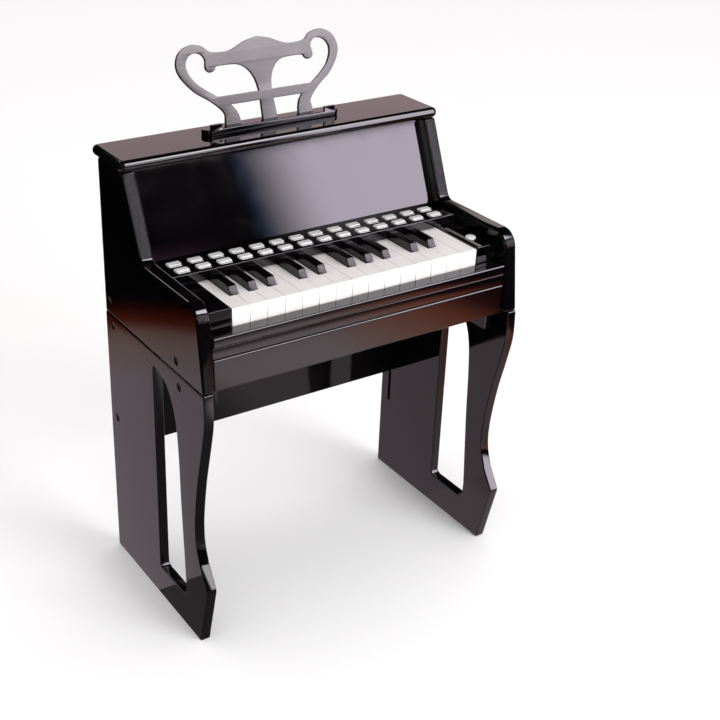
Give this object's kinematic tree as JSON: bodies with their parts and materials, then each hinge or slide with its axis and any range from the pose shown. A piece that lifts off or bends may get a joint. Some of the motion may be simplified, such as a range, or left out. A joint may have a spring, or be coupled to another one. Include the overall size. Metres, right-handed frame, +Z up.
{
  "type": "toy electronic keyboard",
  "caption": "Small upright-piano-shaped electronic keyboard in black lacquered wood, with white and black keys, rows of push buttons, a scroll-cut music rest and board legs.",
  "frame": {"origin": "on the floor, in the middle of the whole object's width and depth", "axes": "+Z up, +X to the player's right, -Y towards the player"},
  "size_m": [0.417, 0.2531, 0.6161],
  "materials": {
    "lacquer": "gloss black lacquer on fibreboard",
    "white_key_plastic": "gloss",
    "black_key_plastic": "satin",
    "button_plastic": "soft satin",
    "silver_plastic": "silver paint",
    "dark_plastic": "matt",
    "circuit_board": "solder mask",
    "speaker_steel": "plain pressed steel",
    "back_board": "matt black hardboard"
  },
  "bodies": {
    "cabinet": {"left_side_panel": "lacquer", "right_side_panel": "lacquer", "lid": "lacquer", "fallboard": "lacquer", "back_panel": "back_board", "key_bed": "lacquer", "key_slip": "lacquer", "apron_rail": "lacquer", "left_key_block": "lacquer", "right_key_block": "lacquer", "control_panel": "lacquer", "left_leg": "lacquer", "right_leg": "lacquer", "rear_stretcher": "lacquer", "key_frame": "dark_plastic", "circuit_board": "circuit_board", "speaker": "speaker_steel"},
    "white_key_01": {"white_key_01": "white_key_plastic"},
    "white_key_02": {"white_key_02": "white_key_plastic"},
    "white_key_03": {"white_key_03": "white_key_plastic"},
    "white_key_04": {"white_key_04": "white_key_plastic"},
    "white_key_05": {"white_key_05": "white_key_plastic"},
    "white_key_06": {"white_key_06": "white_key_plastic"},
    "white_key_07": {"white_key_07": "white_key_plastic"},
    "white_key_08": {"white_key_08": "white_key_plastic"},
    "white_key_09": {"white_key_09": "white_key_plastic"},
    "white_key_10": {"white_key_10": "white_key_plastic"},
    "white_key_11": {"white_key_11": "white_key_plastic"},
    "white_key_12": {"white_key_12": "white_key_plastic"},
    "white_key_13": {"white_key_13": "white_key_plastic"},
    "white_key_14": {"white_key_14": "white_key_plastic"},
    "white_key_15": {"white_key_15": "white_key_plastic"},
    "black_key_01": {"black_key_01": "black_key_plastic"},
    "black_key_02": {"black_key_02": "black_key_plastic"},
    "black_key_03": {"black_key_03": "black_key_plastic"},
    "black_key_04": {"black_key_04": "black_key_plastic"},
    "black_key_05": {"black_key_05": "black_key_plastic"},
    "black_key_06": {"black_key_06": "black_key_plastic"},
    "black_key_07": {"black_key_07": "black_key_plastic"},
    "black_key_08": {"black_key_08": "black_key_plastic"},
    "black_key_09": {"black_key_09": "black_key_plastic"},
    "black_key_10": {"black_key_10": "black_key_plastic"},
    "buttons_01": {"buttons_01": "button_plastic"},
    "buttons_02": {"buttons_02": "button_plastic"},
    "buttons_03": {"buttons_03": "button_plastic"},
    "buttons_04": {"buttons_04": "button_plastic"},
    "buttons_05": {"buttons_05": "button_plastic"},
    "buttons_06": {"buttons_06": "button_plastic"},
    "buttons_07": {"buttons_07": "button_plastic"},
    "buttons_08": {"buttons_08": "button_plastic"},
    "buttons_09": {"buttons_09": "button_plastic"},
    "buttons_10": {"buttons_10": "button_plastic"},
    "buttons_11": {"buttons_11": "button_plastic"},
    "buttons_12": {"buttons_12": "button_plastic"},
    "buttons_13": {"buttons_13": "button_plastic"},
    "buttons_14": {"buttons_14": "button_plastic"},
    "power_button": {"power_button": "silver_plastic"},
    "battery_door": {"battery_door": "dark_plastic"},
    "music_rest": {"music_rest": "lacquer", "music_rest_base": "lacquer"}
  },
  "joints": [
    {"name": "white_key_01_press", "type": "hinge", "parent": "cabinet", "child": "white_key_01", "pos_m": [-0.1467, 0.06879, 0.3973], "axis": [1, 0, 0], "range_deg": [0, 1.4], "stiffness_Nm_per_rad": 1, "springref_deg": -4.58},
    {"name": "white_key_02_press", "type": "hinge", "parent": "cabinet", "child": "white_key_02", "pos_m": [-0.1255, 0.06879, 0.3973], "axis": [1, 0, 0], "range_deg": [0, 1.4], "stiffness_Nm_per_rad": 1, "springref_deg": -4.58},
    {"name": "white_key_03_press", "type": "hinge", "parent": "cabinet", "child": "white_key_03", "pos_m": [-0.1043, 0.06879, 0.3973], "axis": [1, 0, 0], "range_deg": [0, 1.4], "stiffness_Nm_per_rad": 1, "springref_deg": -4.58},
    {"name": "white_key_04_press", "type": "hinge", "parent": "cabinet", "child": "white_key_04", "pos_m": [-0.0831, 0.06879, 0.3973], "axis": [1, 0, 0], "range_deg": [0, 1.4], "stiffness_Nm_per_rad": 1, "springref_deg": -4.58},
    {"name": "white_key_05_press", "type": "hinge", "parent": "cabinet", "child": "white_key_05", "pos_m": [-0.0619, 0.06879, 0.3973], "axis": [1, 0, 0], "range_deg": [0, 1.4], "stiffness_Nm_per_rad": 1, "springref_deg": -4.58},
    {"name": "white_key_06_press", "type": "hinge", "parent": "cabinet", "child": "white_key_06", "pos_m": [-0.0407, 0.06879, 0.3973], "axis": [1, 0, 0], "range_deg": [0, 1.4], "stiffness_Nm_per_rad": 1, "springref_deg": -4.58},
    {"name": "white_key_07_press", "type": "hinge", "parent": "cabinet", "child": "white_key_07", "pos_m": [-0.0195, 0.06879, 0.3973], "axis": [1, 0, 0], "range_deg": [0, 1.4], "stiffness_Nm_per_rad": 1, "springref_deg": -4.58},
    {"name": "white_key_08_press", "type": "hinge", "parent": "cabinet", "child": "white_key_08", "pos_m": [0.0017, 0.06879, 0.3973], "axis": [1, 0, 0], "range_deg": [0, 1.4], "stiffness_Nm_per_rad": 1, "springref_deg": -4.58},
    {"name": "white_key_09_press", "type": "hinge", "parent": "cabinet", "child": "white_key_09", "pos_m": [0.0229, 0.06879, 0.3973], "axis": [1, 0, 0], "range_deg": [0, 1.4], "stiffness_Nm_per_rad": 1, "springref_deg": -4.58},
    {"name": "white_key_10_press", "type": "hinge", "parent": "cabinet", "child": "white_key_10", "pos_m": [0.0441, 0.06879, 0.3973], "axis": [1, 0, 0], "range_deg": [0, 1.4], "stiffness_Nm_per_rad": 1, "springref_deg": -4.58},
    {"name": "white_key_11_press", "type": "hinge", "parent": "cabinet", "child": "white_key_11", "pos_m": [0.0653, 0.06879, 0.3973], "axis": [1, 0, 0], "range_deg": [0, 1.4], "stiffness_Nm_per_rad": 1, "springref_deg": -4.58},
    {"name": "white_key_12_press", "type": "hinge", "parent": "cabinet", "child": "white_key_12", "pos_m": [0.0865, 0.06879, 0.3973], "axis": [1, 0, 0], "range_deg": [0, 1.4], "stiffness_Nm_per_rad": 1, "springref_deg": -4.58},
    {"name": "white_key_13_press", "type": "hinge", "parent": "cabinet", "child": "white_key_13", "pos_m": [0.1077, 0.06879, 0.3973], "axis": [1, 0, 0], "range_deg": [0, 1.4], "stiffness_Nm_per_rad": 1, "springref_deg": -4.58},
    {"name": "white_key_14_press", "type": "hinge", "parent": "cabinet", "child": "white_key_14", "pos_m": [0.1289, 0.06879, 0.3973], "axis": [1, 0, 0], "range_deg": [0, 1.4], "stiffness_Nm_per_rad": 1, "springref_deg": -4.58},
    {"name": "white_key_15_press", "type": "hinge", "parent": "cabinet", "child": "white_key_15", "pos_m": [0.1501, 0.06879, 0.3973], "axis": [1, 0, 0], "range_deg": [0, 1.4], "stiffness_Nm_per_rad": 1, "springref_deg": -4.58},
    {"name": "black_key_01_press", "type": "hinge", "parent": "cabinet", "child": "black_key_01", "pos_m": [-0.1381, 0.06879, 0.3973], "axis": [1, 0, 0], "range_deg": [0, 1.4], "stiffness_Nm_per_rad": 1, "springref_deg": -4.58},
    {"name": "black_key_02_press", "type": "hinge", "parent": "cabinet", "child": "black_key_02", "pos_m": [-0.1149, 0.06879, 0.3973], "axis": [1, 0, 0], "range_deg": [0, 1.4], "stiffness_Nm_per_rad": 1, "springref_deg": -4.58},
    {"name": "black_key_03_press", "type": "hinge", "parent": "cabinet", "child": "black_key_03", "pos_m": [-0.0917, 0.06879, 0.3973], "axis": [1, 0, 0], "range_deg": [0, 1.4], "stiffness_Nm_per_rad": 1, "springref_deg": -4.58},
    {"name": "black_key_04_press", "type": "hinge", "parent": "cabinet", "child": "black_key_04", "pos_m": [-0.0528, 0.06879, 0.3973], "axis": [1, 0, 0], "range_deg": [0, 1.4], "stiffness_Nm_per_rad": 1, "springref_deg": -4.58},
    {"name": "black_key_05_press", "type": "hinge", "parent": "cabinet", "child": "black_key_05", "pos_m": [-0.0286, 0.06879, 0.3973], "axis": [1, 0, 0], "range_deg": [0, 1.4], "stiffness_Nm_per_rad": 1, "springref_deg": -4.58},
    {"name": "black_key_06_press", "type": "hinge", "parent": "cabinet", "child": "black_key_06", "pos_m": [0.0103, 0.06879, 0.3973], "axis": [1, 0, 0], "range_deg": [0, 1.4], "stiffness_Nm_per_rad": 1, "springref_deg": -4.58},
    {"name": "black_key_07_press", "type": "hinge", "parent": "cabinet", "child": "black_key_07", "pos_m": [0.0335, 0.06879, 0.3973], "axis": [1, 0, 0], "range_deg": [0, 1.4], "stiffness_Nm_per_rad": 1, "springref_deg": -4.58},
    {"name": "black_key_08_press", "type": "hinge", "parent": "cabinet", "child": "black_key_08", "pos_m": [0.0567, 0.06879, 0.3973], "axis": [1, 0, 0], "range_deg": [0, 1.4], "stiffness_Nm_per_rad": 1, "springref_deg": -4.58},
    {"name": "black_key_09_press", "type": "hinge", "parent": "cabinet", "child": "black_key_09", "pos_m": [0.0956, 0.06879, 0.3973], "axis": [1, 0, 0], "range_deg": [0, 1.4], "stiffness_Nm_per_rad": 1, "springref_deg": -4.58},
    {"name": "black_key_10_press", "type": "hinge", "parent": "cabinet", "child": "black_key_10", "pos_m": [0.1198, 0.06879, 0.3973], "axis": [1, 0, 0], "range_deg": [0, 1.4], "stiffness_Nm_per_rad": 1, "springref_deg": -4.58},
    {"name": "buttons_01_push", "type": "slide", "parent": "cabinet", "child": "buttons_01", "axis": [0, 0, -1], "range_m": [0, 0.0012], "stiffness_N_per_m": 400, "springref_m": -0.002},
    {"name": "buttons_02_push", "type": "slide", "parent": "cabinet", "child": "buttons_02", "axis": [0, 0, -1], "range_m": [0, 0.0012], "stiffness_N_per_m": 400, "springref_m": -0.002},
    {"name": "buttons_03_push", "type": "slide", "parent": "cabinet", "child": "buttons_03", "axis": [0, 0, -1], "range_m": [0, 0.0012], "stiffness_N_per_m": 400, "springref_m": -0.002},
    {"name": "buttons_04_push", "type": "slide", "parent": "cabinet", "child": "buttons_04", "axis": [0, 0, -1], "range_m": [0, 0.0012], "stiffness_N_per_m": 400, "springref_m": -0.002},
    {"name": "buttons_05_push", "type": "slide", "parent": "cabinet", "child": "buttons_05", "axis": [0, 0, -1], "range_m": [0, 0.0012], "stiffness_N_per_m": 400, "springref_m": -0.002},
    {"name": "buttons_06_push", "type": "slide", "parent": "cabinet", "child": "buttons_06", "axis": [0, 0, -1], "range_m": [0, 0.0012], "stiffness_N_per_m": 400, "springref_m": -0.002},
    {"name": "buttons_07_push", "type": "slide", "parent": "cabinet", "child": "buttons_07", "axis": [0, 0, -1], "range_m": [0, 0.0012], "stiffness_N_per_m": 400, "springref_m": -0.002},
    {"name": "buttons_08_push", "type": "slide", "parent": "cabinet", "child": "buttons_08", "axis": [0, 0, -1], "range_m": [0, 0.0012], "stiffness_N_per_m": 400, "springref_m": -0.002},
    {"name": "buttons_09_push", "type": "slide", "parent": "cabinet", "child": "buttons_09", "axis": [0, 0, -1], "range_m": [0, 0.0012], "stiffness_N_per_m": 400, "springref_m": -0.002},
    {"name": "buttons_10_push", "type": "slide", "parent": "cabinet", "child": "buttons_10", "axis": [0, 0, -1], "range_m": [0, 0.0012], "stiffness_N_per_m": 400, "springref_m": -0.002},
    {"name": "buttons_11_push", "type": "slide", "parent": "cabinet", "child": "buttons_11", "axis": [0, 0, -1], "range_m": [0, 0.0012], "stiffness_N_per_m": 400, "springref_m": -0.002},
    {"name": "buttons_12_push", "type": "slide", "parent": "cabinet", "child": "buttons_12", "axis": [0, 0, -1], "range_m": [0, 0.0012], "stiffness_N_per_m": 400, "springref_m": -0.002},
    {"name": "buttons_13_push", "type": "slide", "parent": "cabinet", "child": "buttons_13", "axis": [0, 0, -1], "range_m": [0, 0.0012], "stiffness_N_per_m": 400, "springref_m": -0.002},
    {"name": "buttons_14_push", "type": "slide", "parent": "cabinet", "child": "buttons_14", "axis": [0, 0, -1], "range_m": [0, 0.0012], "stiffness_N_per_m": 400, "springref_m": -0.002},
    {"name": "power_button_push", "type": "slide", "parent": "cabinet", "child": "power_button", "axis": [0, 0, -1], "range_m": [0, 0.0015], "stiffness_N_per_m": 400, "springref_m": -0.002},
    {"name": "battery_door_off", "type": "slide", "parent": "cabinet", "child": "battery_door", "axis": [0, 1, 0], "range_m": [0, 0.03]},
    {"name": "music_rest_lift", "type": "slide", "parent": "cabinet", "child": "music_rest", "axis": [0, 0, 1], "range_m": [0, 0.03]}
  ]
}
